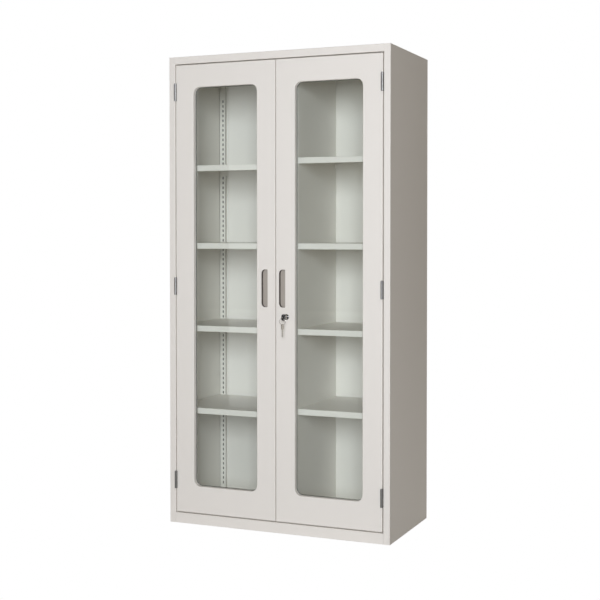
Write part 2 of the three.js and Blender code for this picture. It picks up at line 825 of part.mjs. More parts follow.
// The spare key hangs edge on to the door, with the ring through its eye.
function spareKey() {
  const eyeTop = ringBottom + ringWire + weldGap;
  const eyeZ = eyeTop - spareEyeRadius;
  const bowZ = eyeTop + spareRim - spareBowRadius;
  const tipZ = eyeTop + spareRim - spareLength;
  const half = spareBlade / 2;
  const drop = Math.sqrt(spareBowRadius ** 2 - half ** 2);
  const cutStart = tipZ + half;
  const start = Math.atan2(-drop, half);
  const shape = new THREE.Shape();
  shape.moveTo(eyeY, tipZ);
  for (const [along, depth] of keyCuts(bowZ - drop - cutStart)) {
    shape.lineTo(eyeY + half - depth, cutStart + along);
  }
  shape.absarc(eyeY, bowZ, spareBowRadius, start, Math.PI - start);
  shape.lineTo(eyeY - half, tipZ + half);
  shape.holes.push(circle(eyeY, eyeZ, spareEyeRadius));
  return alongX(shape, lockX - keyThickness / 2, lockX + keyThickness / 2, circleSteps);
}

// Bolts, drawn with the tip at z = 0 and pointing up

function boltRod() {
  const rod = turnedUpright([[0, -boltLength], [boltRadius, -boltLength], [boltRadius, 0], [0, 0]],
    barrelSides);
  const knob = turned([[0, 0], [knobRadius, 0], [knobRadius, knobReach], [0, knobReach]], barrelSides);
  return join(rod, knob.rotateZ(Math.PI / 2).translate(0, 0, knobRadius + boltRadius - boltLength));
}

function boltGuide() {
  const bore = boltRadius + boltClearance;
  const outside = bore + guideWall;
  const foot = outside + guideFoot;
  const z = [-boltPastGuide - guideLength, -boltPastGuide];
  const seat = doorThickness + guideSeat - boltY;
  return cut(
    join(
      box([-foot, foot], [seat, seat + guideFootThickness], z),
      box([-outside, outside], [seat, outside], z),
    ),
    turnedUpright([[0, z[0] - sheet], [bore, z[0] - sheet], [bore, z[1] + sheet], [0, z[1] + sheet]],
      barrelSides),
  );
}

// Assembly

const cabinet = new THREE.Group();
for (const [name, side] of Object.entries(sides)) {
  piece(cabinet, `${name}_side_panel`, sidePanel(side), 'powderCoat');
}
piece(cabinet, 'top_panel', topPanel(), 'powderCoat');
piece(cabinet, 'base_panel', basePanel(), 'powderCoat');
piece(cabinet, 'back_panel', backPanel(), 'powderCoat');
piece(cabinet, 'divider_panel', dividerPanel(), 'powderCoat');
for (const [name, side] of Object.entries(sides)) {
  piece(cabinet, `front_${name}_upright`,
    upright(side, shelfSteps[name], frontUprightY, [seatX],
      [jambDepth + weldGap, frontUprightY + uprightSheet]), 'powderCoat');
  piece(cabinet, `rear_${name}_upright`,
    upright(side, shelfSteps[name], rearUprightY, [seatX, seatX - uprightWidth + uprightSheet],
      [rearUprightY, backFace - weldGap]), 'powderCoat');
}
for (const [name, steps] of Object.entries(shelfSteps)) {
  const tray = shelf(sides[name]);
  steps.forEach((step, index) => {
    const mesh = piece(cabinet, `${name}_shelf_${index + 1}`, tray, 'powderCoat');
    mesh.position.z = shelfTop(step);
  });
}

const doors = {};
const pullPlaces = { left: leftPullX, right: rightPullX };
for (const [name, side] of Object.entries(sides)) {
  const door = new THREE.Group();
  doors[name] = door;
  piece(door, `${name}_door_skin`, doorSkin(side, pullPlaces[name]), 'powderCoat');
  piece(door, `${name}_door_liner`, doorLiner(side), 'powderCoat');
  piece(door, `${name}_window_seal`, windowSeal(side), 'rubber');
  piece(door, `${name}_window_glass`, windowGlass(side), 'glass');
  piece(door, `${name}_pull_cup`, pullCup(pullPlaces[name]), 'pull');
  const frameLeaf = hingeLeaf(side, doorGap - leafSeat - leafThickness, 0);
  const doorLeaf = hingeLeaf(side, leafSeat, 1);
  const pin = hingePin();
  for (const [place, height] of Object.entries(hingeHeights)) {
    const hinge = [
      piece(cabinet, `${name}_${place}_hinge_frame_leaf`, frameLeaf, 'zinc'),
      piece(cabinet, `${name}_${place}_hinge_pin`, pin, 'zinc'),
      piece(door, `${name}_${place}_hinge_door_leaf`, doorLeaf, 'zinc'),
    ];
    hinge.forEach((mesh) => mesh.position.set(side * hingeX, hingeY, height));
  }
}

const bolts = {
  top: { tip: strikeBottom - boltTipGap, turn: 0 },
  bottom: { tip: deckTop + boltTipGap, turn: Math.PI },
};
for (const [place, { tip, turn }] of Object.entries(bolts)) {
  const parts = [
    piece(doors.left, `left_${place}_bolt_guide`, boltGuide(), 'zinc'),
    piece(doors.left, `left_${place}_bolt`, boltRod(), 'zinc'),
  ];
  parts.forEach((mesh) => {
    mesh.position.set(boltX, boltY, tip);
    mesh.rotation.y = turn;
  });
}

const lock = new THREE.Group();
piece(doors.right, 'lock_body', lockBody(), 'chrome');
piece(doors.right, 'lock_nut', lockNut(), 'zinc');
piece(lock, 'lock_plug', lockPlug(), 'nickel');
piece(lock, 'lock_cam', lockCam(), 'zinc');
piece(lock, 'cam_screw', camScrew(), 'zinc');
piece(lock, 'key_blade', keyBlade(), 'nickel');
piece(lock, 'key_head', keyHead(), 'blackPlastic');
piece(lock, 'key_ring', keyRing(), 'nickel');
piece(lock, 'spare_key', spareKey(), 'nickel');
doors.right.add(lock);

const glassDoorCabinet = new THREE.Group();
glassDoorCabinet.add(cabinet, doors.left, doors.right);
glassDoorCabinet.position.y = -frameShift;

export default glassDoorCabinet;
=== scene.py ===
"""Looks of the glass door medical cabinet: finishes, uprights, hinge screws and a studio."""

import json
import math

import bmesh
import bpy
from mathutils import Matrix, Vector


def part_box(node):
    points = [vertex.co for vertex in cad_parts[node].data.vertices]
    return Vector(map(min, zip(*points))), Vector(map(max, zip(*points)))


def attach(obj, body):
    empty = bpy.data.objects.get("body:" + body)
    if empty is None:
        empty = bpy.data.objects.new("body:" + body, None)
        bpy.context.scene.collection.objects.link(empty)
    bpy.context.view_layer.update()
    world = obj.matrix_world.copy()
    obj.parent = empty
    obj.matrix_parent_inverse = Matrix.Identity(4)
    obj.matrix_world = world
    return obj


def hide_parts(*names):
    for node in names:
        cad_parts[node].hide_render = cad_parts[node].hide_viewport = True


bl_info = {
    "name": "Glass door medical cabinet",
    "version": (1, 0, 0),
    "blender": (4, 5, 0),
    "location": "3D View > Sidebar > Cabinet",
    "description": "Finishes the packed cabinet and sets it in a white studio",
    "category": "Object",
}

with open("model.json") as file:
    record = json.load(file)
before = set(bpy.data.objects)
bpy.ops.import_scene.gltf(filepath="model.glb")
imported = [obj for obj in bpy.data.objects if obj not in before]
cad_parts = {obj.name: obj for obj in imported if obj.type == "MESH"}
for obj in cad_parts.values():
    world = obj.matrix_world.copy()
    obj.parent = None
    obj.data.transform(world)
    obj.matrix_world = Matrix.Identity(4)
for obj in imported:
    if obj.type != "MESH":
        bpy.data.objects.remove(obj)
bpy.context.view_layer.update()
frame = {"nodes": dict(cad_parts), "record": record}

SIDES = {"left": -1, "right": 1}
PLACES = ("top", "middle", "bottom")
SHELF_ROWS = (1, 2, 3, 4)
DOOR_FACE_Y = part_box("left_door_skin")[0].y
BODY_OF = {
    node: body
    for body, nodes in frame["record"]["behaviour"]["bodies"].items()
    for node in nodes
}
SLOT_OF = {part["node"]: part["material_slot"] for part in frame["record"]["subparts"]}

# Faces of the CAD meshes, with angles in degrees
MERGE_DISTANCE = 1e-5  # metres between corners that are one
FLAT_WITHIN = 0.5  # between triangles of one flat face
SMOOTH_BEND = 40.0  # between faces that shade as one bend
SMOOTH_BARREL = 50.0  # the same on the eight-sided barrels and pins of the hinges
SMOOTH_WIRE = 65.0  # and on the six-sided wire of the key ring
BEVEL_MARGIN = 5.0  # by which a rounded edge is sharper than a smooth bend
BEVEL_STEPS = 2
KEY_HEAD_ROUND = 2  # rounding of the key head, in roundings of the metal edges
PULL_SHADE_SLOPE = 50.0  # off the door's face, past which a face of the pull's cup is its wall and takes painted shade
FLANGE_INDEX, PAINTED_SHADE_INDEX = 1, 2  # of a pull's materials, after the one of its floor; the second is painted shade on the cup walls

# Uprights, in thicknesses of their sheet
SLOT_CUT = 4  # depth of the block that cuts a slot
LINING_THICKNESS = 0.5  # of the dark back in a rear upright, a sheet of painted shade behind the slots
LINING_INSET = 3  # by which that back is narrower than its upright

# Hinge screws, in radii of their heads
RECESS_LENGTH = 1.3
RECESS_WIDTH = 0.3
SCREW_SIDES = 24
SCREW_TURN = [0, math.pi / 2, 0]  # lays a head's axis along x

# Finishes
EVEN = (1, 1, 1)
BRUSHED_UP = (1, 1, 0.02)  # lines that run up a piece, 50 times as long as they are wide
PATCH_RIPPLES = 60  # ripples across one patch of slightly different gloss
COAT_SPREAD = 0.04  # how far the roughness of a powder coat wanders
SKIN_SPREAD = 0.05  # and that of a moulded skin
PANE_ROUGHNESS = 0.02
PANE_MIRROR = 0.04  # share of the light that a pane mirrors when it is seen straight on
PANE_POWER = 5.0  # how steeply that share grows towards a flat angle

# Studio, in metres from the middle of the cabinet's foot
LIGHT_AIM = Vector((0, 0, 0.9))
KEY_PLACE, KEY_SIZE = Vector((2.3, -6.6, 2.1)), 2.4
REAR_PLACE, REAR_SIZE = Vector((-3.2, 6.0, 2.4)), 2.8
CARD_PLACE, CARD_WIDTH, CARD_HEIGHT = Vector((-1.47, -3.0, 1.1)), 0.3, 2.6
FLOOR_HALF = 12.0
FLOOR_DROP = 0.0005  # floor below the cabinet's feet
FLOOR_TINT = (0.8, 0.79, 0.76)  # linear
FLOOR_ROUGHNESS = 0.9
CAMERA_PLACE = Vector((1.8195, DOOR_FACE_Y - 4.016, 1.1188))
CAMERA_TURN, CAMERA_TILT = math.radians(23.19), math.radians(-1.24)
CAMERA_SHIFT = -0.067  # of the picture, in picture widths
CAMERA_SENSOR = 36.0  # millimetres


def linear(hex_colour):
    """An sRGB hex colour as linear red, green and blue."""
    values = [int(hex_colour[i : i + 2], 16) / 255 for i in (1, 3, 5)]
    return tuple(v / 12.92 if v <= 0.04045 else ((v + 0.055) / 1.055) ** 2.4 for v in values)


def length(name, description, default):
    """A property that holds a length in metres."""
    return bpy.props.FloatProperty(
        name=name, description=description, default=default, unit="LENGTH", precision=5
    )


def watts(name, description, default):
    """A property that holds the power of a light."""
    return bpy.props.FloatProperty(
        name=name, description=description, default=default, unit="POWER"
    )


def colour(name, description, hex_colour):
    """A property that holds a colour."""
    return bpy.props.FloatVectorProperty(
        name=name,
        description=description,
        default=linear(hex_colour),
        subtype="COLOR",
        size=3,
        min=0,
        max=1,
    )


class CabinetSizes(bpy.types.PropertyGroup):
    """Sizes of the small features that are drawn here."""

    peel_width: length("Peel width", "Width of one ripple in the powder coat", 0.0024)
    peel_height: length("Peel height", "Height of one ripple in the powder coat", 0.000012)
    # Real brush lines are finer: these are as coarse as they need to be to show
    grain_width: length("Grain width", "Width of one line in brushed metal", 0.0003)
    spangle: length("Spangle", "Width of one grain in the zinc plate", 0.003)
    edge_round: length("Edge rounding", "Rounding of the small metal edges", 0.0002)
    upright_sheet: length("Upright sheet", "Thickness of the uprights", 0.0012)
    slot_inset: length("Slot inset", "Slot centre in from the wall leg's outer face", 0.0157)
    slot_width: length("Slot width", "Width of one shelf slot", 0.005)
    slot_height: length("Slot height", "Height of one shelf slot", 0.01)
    slot_pitch: length("Slot pitch", "Distance from slot to slot", 0.02)
    slot_lowest: length("Lowest slot", "Height of the lowest slot's lower edge", 0.0687)
    slot_count: bpy.props.IntProperty(
        name="Slots", description="Slots in one upright", default=81, min=1
    )
    screw_radius: length("Screw radius", "Radius of a hinge screw's head", 0.003)
    screw_pitch: length("Screw pitch", "Distance between the screws of a leaf", 0.021)
    screw_count: bpy.props.IntProperty(
        name="Screws", description="Screws in one hinge leaf", default=3, min=1
    )
    screw_head: length("Screw head", "Height of a screw head", 0.001)
    screw_proud: length("Screw proud", "Screw head above its leaf", 0.0001)


class CabinetColours(bpy.types.PropertyGroup):
    """Colours of the finishes, as they look under white light; those of the pull walls and of the
    uprights' dark backs are painted shade.
    """

    powder_coat: colour("Powder coat", "Sheet steel outside and inside", "#f2eee6")
    pull: colour("Pulls", "Floors of the recessed pulls", "#b4aca1")
    # Painted shade: a dark colour on the cup walls that stands in for the shade in the recess
    pull_wall_painted_shade: colour("Pull walls", "Steep walls of the recessed pulls", "#5f5851")
    zinc: colour("Zinc", "Hinges, bolts and lock fixings", "#90908e")
    chrome: colour("Chrome", "Lock rosette", "#c9c9ca")
    nickel: colour("Nickel", "Keys, key ring and lock plug", "#bcb8b0")
    plastic: colour("Plastic", "Head of the key in the lock", "#1d1d1d")
    rubber: colour("Rubber", "Window seals", "#3a3a36")
    # Painted shade: the dark back behind the slots stands in for the shade inside the channel
    painted_slot_shade: colour("Bare steel", "Inside of the uprights, where no paint reaches", "#35342f")
    glass: colour("Glass", "Tint of one window pane", "#fdfffe")


class CabinetStage(bpy.types.PropertyGroup):
    """The studio around the cabinet."""

    key_watts: watts("Key light", "Softbox at the front right", 335.0)
    rear_watts: watts("Rear light", "Softbox behind the cabinet", 150.0)
    card_watts: watts("Card", "Strip that the left pane mirrors", 2.6)
    ambient: bpy.props.FloatProperty(
        name="Room light", description="Brightness of the room's walls", default=0.13
    )
    key_tint: colour("Key tint", "Colour of the key light", "#f3f6ff")
    room_tint: colour("Room tint", "Colour of the room light", "#ffebcb")
    lens: bpy.props.FloatProperty(
        name="Lens", description="Focal length of the camera", default=71.0, unit="CAMERA"
    )


# Nodes


def add_node(tree, kind, values=None, links=(), **settings):
    """Adds a node to a tree, with its settings, its input values and the links to its inputs."""
    node = tree.nodes.new(kind)
    for name, setting in settings.items():
        setattr(node, name, setting)
    for socket, value in (values or {}).items():
        node.inputs[socket].default_value = value
    for socket, source in links:
        tree.links.new(source, node.inputs[socket])
    return node


def new_material(name, tint=None):
    """A new material, its node tree and its Principled shader, in a tint if there is one."""
    material = bpy.data.materials.new(name)
    material.use_nodes = True
    shader = material.node_tree.nodes["Principled BSDF"]
    if tint is not None:
        shader.inputs["Base Color"].default_value = (*tint, 1)
    return material, material.node_tree, shader


def mottle(tree, width, stretch=EVEN):
    """A pattern over object coordinates whose blobs are about width metres wide."""
    place = add_node(tree, "ShaderNodeTexCoord")
    mapping = add_node(
        tree, "ShaderNodeMapping", {"Scale": stretch}, [("Vector", place.outputs["Object"])]
    )
    noise = add_node(
        tree,
        "ShaderNodeTexNoise",
        {"Scale": 1 / width},
        [("Vector", mapping.outputs["Vector"])],
    )
    return noise.outputs["Fac"]


def vary_gloss(tree, shader, pattern, roughness, spread):
    """Lets the roughness wander with a pattern, by spread to each side."""
    span = add_node(
        tree,
        "ShaderNodeMapRange",
        {"To Min": roughness - spread, "To Max": roughness + spread},
        [("Value", pattern)],
    )
    tree.links.new(span.outputs["Result"], shader.inputs["Roughness"])


# Finishes


def powder_coat(name, tint, sizes, roughness):
    """Baked powder coat: satin, with the fine ripple called orange peel."""
    material, tree, shader = new_material(name, tint)
    peel = add_node(
        tree,
        "ShaderNodeBump",
        {"Distance": sizes.peel_height},
        [("Height", mottle(tree, sizes.peel_width))],
    )
    tree.links.new(peel.outputs["Normal"], shader.inputs["Normal"])
    patches = mottle(tree, PATCH_RIPPLES * sizes.peel_width)
    vary_gloss(tree, shader, patches, roughness, COAT_SPREAD)
    return material


def plated(name, tint, grain, roughness, spread, stretch=EVEN):
    """Plated steel: metal whose gloss varies over its grain."""
    material, tree, shader = new_material(name, tint)
    shader.inputs["Metallic"].default_value = 1.0
    vary_gloss(tree, shader, mottle(tree, grain, stretch), roughness, spread)
    return material


def moulded(name, tint, sizes, roughness):
    """A matt skin with a fine grain, as moulded plastic, rubber and bare steel have."""
    material, tree, shader = new_material(name, tint)
    vary_gloss(tree, shader, mottle(tree, sizes.grain_width), roughness, SKIN_SPREAD)
    return material


def float_glass(name, tint):
    """Clear float glass: it lets light straight through and mirrors more at a flat angle."""
    material, tree, _ = new_material(name)
    clear = add_node(tree, "ShaderNodeBsdfTransparent", {"Color": (*tint, 1)})
    mirror = add_node(tree, "ShaderNodeBsdfAnisotropic", {"Roughness": PANE_ROUGHNESS})
    slant = add_node(tree, "ShaderNodeLayerWeight")
    steep = add_node(
        tree,
        "ShaderNodeMath",
        {1: PANE_POWER},
        [(0, slant.outputs["Facing"])],
        operation="POWER",
    )
    share = add_node(
        tree,
        "ShaderNodeMapRange",
        {"To Min": PANE_MIRROR, "To Max": 1.0},
        [("Value", steep.outputs["Value"])],
    )
    mix = add_node(
        tree,
        "ShaderNodeMixShader",
        links=[
            ("Fac", share.outputs["Result"]),
            (1, clear.outputs["BSDF"]),
            (2, mirror.outputs["BSDF"]),
        ],
    )
    tree.links.new(mix.outputs["Shader"], tree.nodes["Material Output"].inputs["Surface"])
    return material


def make_finishes(colours, sizes):
    """One material for each material slot of the record, and two that only the scene uses."""
    return {
        # Baked on steel: a soft sheen without sharp reflections
        "powder_coat": powder_coat(
            "light_grey_powder_coat", colours.powder_coat, sizes, roughness=0.42
        ),
        # Satin paint: a little glossier than the doors around it
        "pull_finish": powder_coat("satin_grey_pull", colours.pull, sizes, roughness=0.3),
        # Painted shade: the steep walls deep in the cup are made matt and dark for the shade that
        # falls there
        "pull_wall_painted_shade": moulded("shaded_pull_wall", colours.pull_wall_painted_shade, sizes, roughness=0.5),
        # Zinc on small steel parts: dull grey metal, cloudy from grain to grain
        "zinc_plate": plated(
            "zinc_plate", colours.zinc, sizes.spangle, roughness=0.38, spread=0.08
        ),
        # Polished before plating: nearly a mirror
        "chrome": plated(
            "polished_chrome", colours.chrome, sizes.spangle, roughness=0.1, spread=0.03
        ),
        # Brushed before plating: warm metal with streaks up the keys
        "nickel_plate": plated(
            "brushed_nickel",
            colours.nickel,
            sizes.grain_width,
            roughness=0.26,
            spread=0.06,
            stretch=BRUSHED_UP,
        ),
        # Moulded key head: black with a broad, weak shine
        "black_plastic": moulded("black_plastic", colours.plastic, sizes, roughness=0.45),
        # Extruded seal: dark grey with almost no shine
        "seal_rubber": moulded("grey_rubber", colours.rubber, sizes, roughness=0.7),
        # Clear and flat: seen by its reflections alone
        "window_glass": float_glass("clear_float_glass", colours.glass),
        # Painted shade: a dark matt sheet behind the slots, standing in for the shade inside the
        # channel
        "painted_slot_shade": moulded("bare_steel_inside", colours.painted_slot_shade, sizes, roughness=0.6),
    }


def finish_of(slot):
    """The material of a slot, made with all the others when the first is asked for."""
    scene = bpy.context.scene
    if "cabinet_finishes" not in scene:
        made = make_finishes(scene.cabinet_colours, scene.cabinet_sizes)
        scene["cabinet_finishes"] = {key: material.name for key, material in made.items()}
    return bpy.data.materials[scene["cabinet_finishes"][slot]]


# Pieces


def settle(piece, node):
    """Lets a piece ride on the body of a node."""
    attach(piece, BODY_OF[node])
    return piece


def converted(piece):
    """Applies a piece's modifiers to its mesh."""
    graph = bpy.context.evaluated_depsgraph_get()
    mesh = bpy.data.meshes.new_from_object(piece.evaluated_get(graph), depsgraph=graph)
    piece.modifiers.clear()
    drawn = piece.data
    piece.data = mesh
    bpy.data.meshes.remove(drawn)
    mesh.name = piece.name


def finished(node, edge=0.0, smooth_below=SMOOTH_BEND):
    """A copy of a CAD node with merged corners, smooth bends and lightly rounded edges."""
    mesh = frame["nodes"][node].data.copy()
    mesh.materials.clear()
    mesh.materials.append(finish_of(SLOT_OF[node]))
    work = bmesh.new()
    work.from_mesh(mesh)
    bmesh.ops.remove_doubles(work, verts=work.verts, dist=MERGE_DISTANCE)
    bmesh.ops.dissolve_limit(
        work, angle_limit=math.radians(FLAT_WITHIN), verts=work.verts, edges=work.edges
    )
    for face in work.faces:
        face.smooth = True
        face.material_index = 0
    for line in work.edges:
        line.smooth = line.is_manifold and line.calc_face_angle() < math.radians(smooth_below)
    work.to_mesh(mesh)
    work.free()
    piece = bpy.data.objects.new(f"{node}.finished", mesh)
    bpy.context.scene.collection.objects.link(piece)
    if edge:
        bevel = piece.modifiers.new("edges", "BEVEL")
        bevel.width = edge
        bevel.segments = BEVEL_STEPS
        bevel.limit_method = "ANGLE"
        bevel.angle_limit = math.radians(smooth_below + BEVEL_MARGIN)
    weight = piece.modifiers.new("normals", "WEIGHTED_NORMAL")
    weight.keep_sharp = True
    converted(piece)
    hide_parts(node)
    return settle(piece, node)


# Geometry Nodes


def new_group(name, inputs):
    """A geometry node group with the named inputs, and the sockets that give their values."""
    group = bpy.data.node_groups.new(name, "GeometryNodeTree")
    for label, kind in inputs.items():
        group.interface.new_socket(name=label, in_out="INPUT", socket_type=f"NodeSocket{kind}")
    group.interface.new_socket(name="Mesh", in_out="OUTPUT", socket_type="NodeSocketGeometry")
    return group, add_node(group, "NodeGroupInput").outputs


def block(group, size, centre=None):
    """A box of the given size, moved to centre if there is one."""
    mesh = add_node(group, "GeometryNodeMeshCube", links=[("Size", size)]).outputs["Mesh"]
    if centre is None:
        return mesh
    moved = add_node(
        group, "GeometryNodeTransform", links=[("Geometry", mesh), ("Translation", centre)]
    )
    return moved.outputs["Geometry"]


def upward_row(group, given, instance, turn=None):
    """Copies of an instance on a line of points that climbs from First."""
    rise = add_node(group, "ShaderNodeCombineXYZ", links=[("Z", given["Pitch"])])
    line = add_node(
        group,
        "GeometryNodeMeshLine",
        links=[
            ("Count", given["Count"]),
            ("Start Location", given["First"]),
            ("Offset", rise.outputs["Vector"]),
        ],
    )
    copies = add_node(
        group,
        "GeometryNodeInstanceOnPoints",
        links=[("Points", line.outputs["Mesh"]), ("Instance", instance)],
    )
    if turn is not None:
        group.links.new(turn, copies.inputs["Rotation"])
    real = add_node(
        group, "GeometryNodeRealizeInstances", links=[("Geometry", copies.outputs["Instances"])]
    )
    return real.outputs["Geometry"]


def coated(group, geometry, material):
    """Real geometry in one material, as each branch of a tree ends."""
    real = add_node(group, "GeometryNodeRealizeInstances", links=[("Geometry", geometry)])
    paint = add_node(
        group,
        "GeometryNodeSetMaterial",
        links=[("Geometry", real.outputs["Geometry"]), ("Material", material)],
    )
    return paint.outputs["Geometry"]


def slotted_upright_group():
    """A face leg with a row of slots and a leg on the wall.

    A channel also has a leg at its edge and a dark back of painted shade behind its slots.
    """
    inputs = {
        "Face Size": "Vector",
        "Face Centre": "Vector",
        "Leg Size": "Vector",
        "Wall Leg": "Vector",
        "Edge Leg": "Vector",
        "Channel": "Bool",
        "Slot Size": "Vector",
        "First": "Vector",
        "Pitch": "Float",
        "Count": "Int",
        "Back Size": "Vector",
        "Back Centre": "Vector",
        "Inside": "Material",
        "Material": "Material",
    }
    group, given = new_group("slotted_upright", inputs)
    face = block(group, given["Face Size"], given["Face Centre"])
    wall = block(group, given["Leg Size"], given["Wall Leg"])
    edge = block(group, given["Leg Size"], given["Edge Leg"])
    edge_if = add_node(
        group,
        "GeometryNodeSwitch",
        links=[("Switch", given["Channel"]), ("True", edge)],
        input_type="GEOMETRY",
    )
    slots = upward_row(group, given, block(group, given["Slot Size"]))
    slotted = add_node(
        group, "GeometryNodeMeshBoolean", links=[(0, face), (1, slots)], operation="DIFFERENCE"
    )
    legs = add_node(
        group,
        "GeometryNodeJoinGeometry",
        links=[("Geometry", wall), ("Geometry", edge_if.outputs["Output"])],
    )
    steel = add_node(
        group,
        "GeometryNodeJoinGeometry",
        links=[("Geometry", slotted.outputs["Mesh"]), ("Geometry", legs.outputs["Geometry"])],
    )
    painted = coated(group, steel.outputs["Geometry"], given["Material"])
    # The dark back is painted shade for the hollow behind the slots
    back = coated(group, block(group, given["Back Size"], given["Back Centre"]), given["Inside"])
    back_if = add_node(
        group,
        "GeometryNodeSwitch",
        links=[("Switch", given["Channel"]), ("True", back)],
        input_type="GEOMETRY",
    )
    whole = add_node(
        group,
        "GeometryNodeJoinGeometry",
        links=[("Geometry", painted), ("Geometry", back_if.outputs["Output"])],
    )
    add_node(group, "NodeGroupOutput", links=[("Mesh", whole.outputs["Geometry"])])
    return group


def screw_row_group():
    """Countersunk screw heads with a cross recess, in a row up a hinge leaf."""
    inputs = {
        "Radius": "Float",
        "Head": "Float",
        "Bar": "Vector",
        "Cross Bar": "Vector",
        "Turn": "Rotation",
        "First": "Vector",
        "Pitch": "Float",
        "Count": "Int",
        "Material": "Material",
    }
    group, given = new_group("countersunk_screws", inputs)
    head = add_node(
        group,
        "GeometryNodeMeshCylinder",
        {"Vertices": SCREW_SIDES},
        [("Radius", given["Radius"]), ("Depth", given["Head"])],
    )
    recess = add_node(
        group,
        "GeometryNodeJoinGeometry",
        links=[("Geometry", block(group, given[bar])) for bar in ("Bar", "Cross Bar")],
    )
    screw = add_node(
        group,
        "GeometryNodeMeshBoolean",
        links=[(0, head.outputs["Mesh"]), (1, recess.outputs["Geometry"])],
        operation="DIFFERENCE",
    )
    row = upward_row(group, given, screw.outputs["Mesh"], given["Turn"])
    add_node(group, "NodeGroupOutput", links=[("Mesh", coated(group, row, given["Material"]))])
    return group


def grown(name, group, values):
    """A piece made by a node group with these input values."""
    piece = bpy.data.objects.new(name, bpy.data.meshes.new(name))
    bpy.context.scene.collection.objects.link(piece)
    modifier = piece.modifiers.new("nodes", "NODES")
    modifier.node_group = group
    for item in group.interface.items_tree:
        if item.in_out == "INPUT":
            modifier[item.identifier] = values[item.name]
    bpy.context.view_layer.update()
    converted(piece)
    return piece


def spanned(low, high):
    """The size and centre of a box between two corners."""
    return [high[i] - low[i] for i in range(3)], [(high[i] + low[i]) / 2 for i in range(3)]


# Operators


class CABINET_OT_body(bpy.types.Operator):
    """Finishes the folded panels and the divider"""

    bl_idname = "cabinet.body"
    bl_label = "Body panels"

    def execute(self, context):
        for name in ("left_side", "right_side", "top", "base", "back", "divider"):
            finished(f"{name}_panel")
        return {"FINISHED"}


class CABINET_OT_uprights(bpy.types.Operator):
    """Builds the four uprights with slots over their whole height"""

    bl_idname = "cabinet.uprights"
    bl_label = "Slotted uprights"

    def execute(self, context):
        sizes = context.scene.cabinet_sizes
        group = slotted_upright_group()
        for side, sign in SIDES.items():
            for row in ("front", "rear"):
                self.upright(sizes, group, f"{row}_{side}_upright", sign, row)
        return {"FINISHED"}

    def upright(self, sizes, group, node, sign, row):
        """An upright in its CAD node's box, an angle in front and a channel at the rear."""
        low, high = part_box(node)
        sheet = sizes.upright_sheet
        lining = LINING_THICKNESS * sheet
        face_low, face_high = low.copy(), high.copy()
        if row == "front":
            face_low.y = high.y - sheet
        else:
            face_high.y = low.y + sheet
        face_size, face_centre = spanned(face_low, face_high)
        middle = (low + high) / 2
        outer, inner = (high.x, low.x) if sign > 0 else (low.x, high.x)
        first_z = sizes.slot_lowest + sizes.slot_height / 2
        values = {
            "Face Size": face_size,
            "Face Centre": face_centre,
            "Leg Size": [sheet, high.y - low.y, high.z - low.z],
            "Wall Leg": [outer - sign * sheet / 2, middle.y, middle.z],
            "Edge Leg": [inner + sign * sheet / 2, middle.y, middle.z],
            "Channel": row == "rear",
            "Back Size": [high.x - low.x - LINING_INSET * sheet, lining, high.z - low.z],
            "Back Centre": [middle.x, high.y - lining / 2, middle.z],
            "Inside": finish_of("painted_slot_shade"),
            "Slot Size": [sizes.slot_width, SLOT_CUT * sheet, sizes.slot_height],
            "First": [outer - sign * sizes.slot_inset, face_centre[1], first_z],
            "Pitch": sizes.slot_pitch,
            "Count": sizes.slot_count,
            "Material": finish_of("powder_coat"),
        }
        piece = grown(f"{node}.slotted", group, values)
        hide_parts(node)
        settle(piece, node)


class CABINET_OT_shelves(bpy.types.Operator):
    """Finishes the shelves of both bays"""

    bl_idname = "cabinet.shelves"
    bl_label = "Shelves"

    def execute(self, context):
        for side in SIDES:
            for number in SHELF_ROWS:
                finished(f"{side}_shelf_{number}")
        return {"FINISHED"}


class CABINET_OT_doors(bpy.types.Operator):
    """Finishes the door skins, their liners and the recessed pulls"""

    bl_idname = "cabinet.doors"
    bl_label = "Doors and pulls"

    def execute(self, context):
        edge = context.scene.cabinet_sizes.edge_round
        for side in SIDES:
            finished(f"{side}_door_skin")
            finished(f"{side}_door_liner")
            self.pull(f"{side}_pull_cup", edge)
        return {"FINISHED"}

    def pull(self, node, edge):
        """The cup is satin with walls darkened as painted shade, and its flange has the door's
        own coat.
        """
        mesh = finished(node, edge).data
        mesh.materials.append(finish_of("powder_coat"))
        mesh.materials.append(finish_of("pull_wall_painted_shade"))
        for face in mesh.polygons:
            if face.center.y < DOOR_FACE_Y:
                face.material_index = FLANGE_INDEX
            # Steep faces inside the cup take the painted shade
            elif abs(face.normal.y) < math.cos(math.radians(PULL_SHADE_SLOPE)):
                face.material_index = PAINTED_SHADE_INDEX


class CABINET_OT_glazing(bpy.types.Operator):
    """Finishes the window panes and their seals"""

    bl_idname = "cabinet.glazing"
    bl_label = "Glazing"

    def execute(self, context):
        for side in SIDES:
            finished(f"{side}_window_seal")
            finished(f"{side}_window_glass")
        return {"FINISHED"}


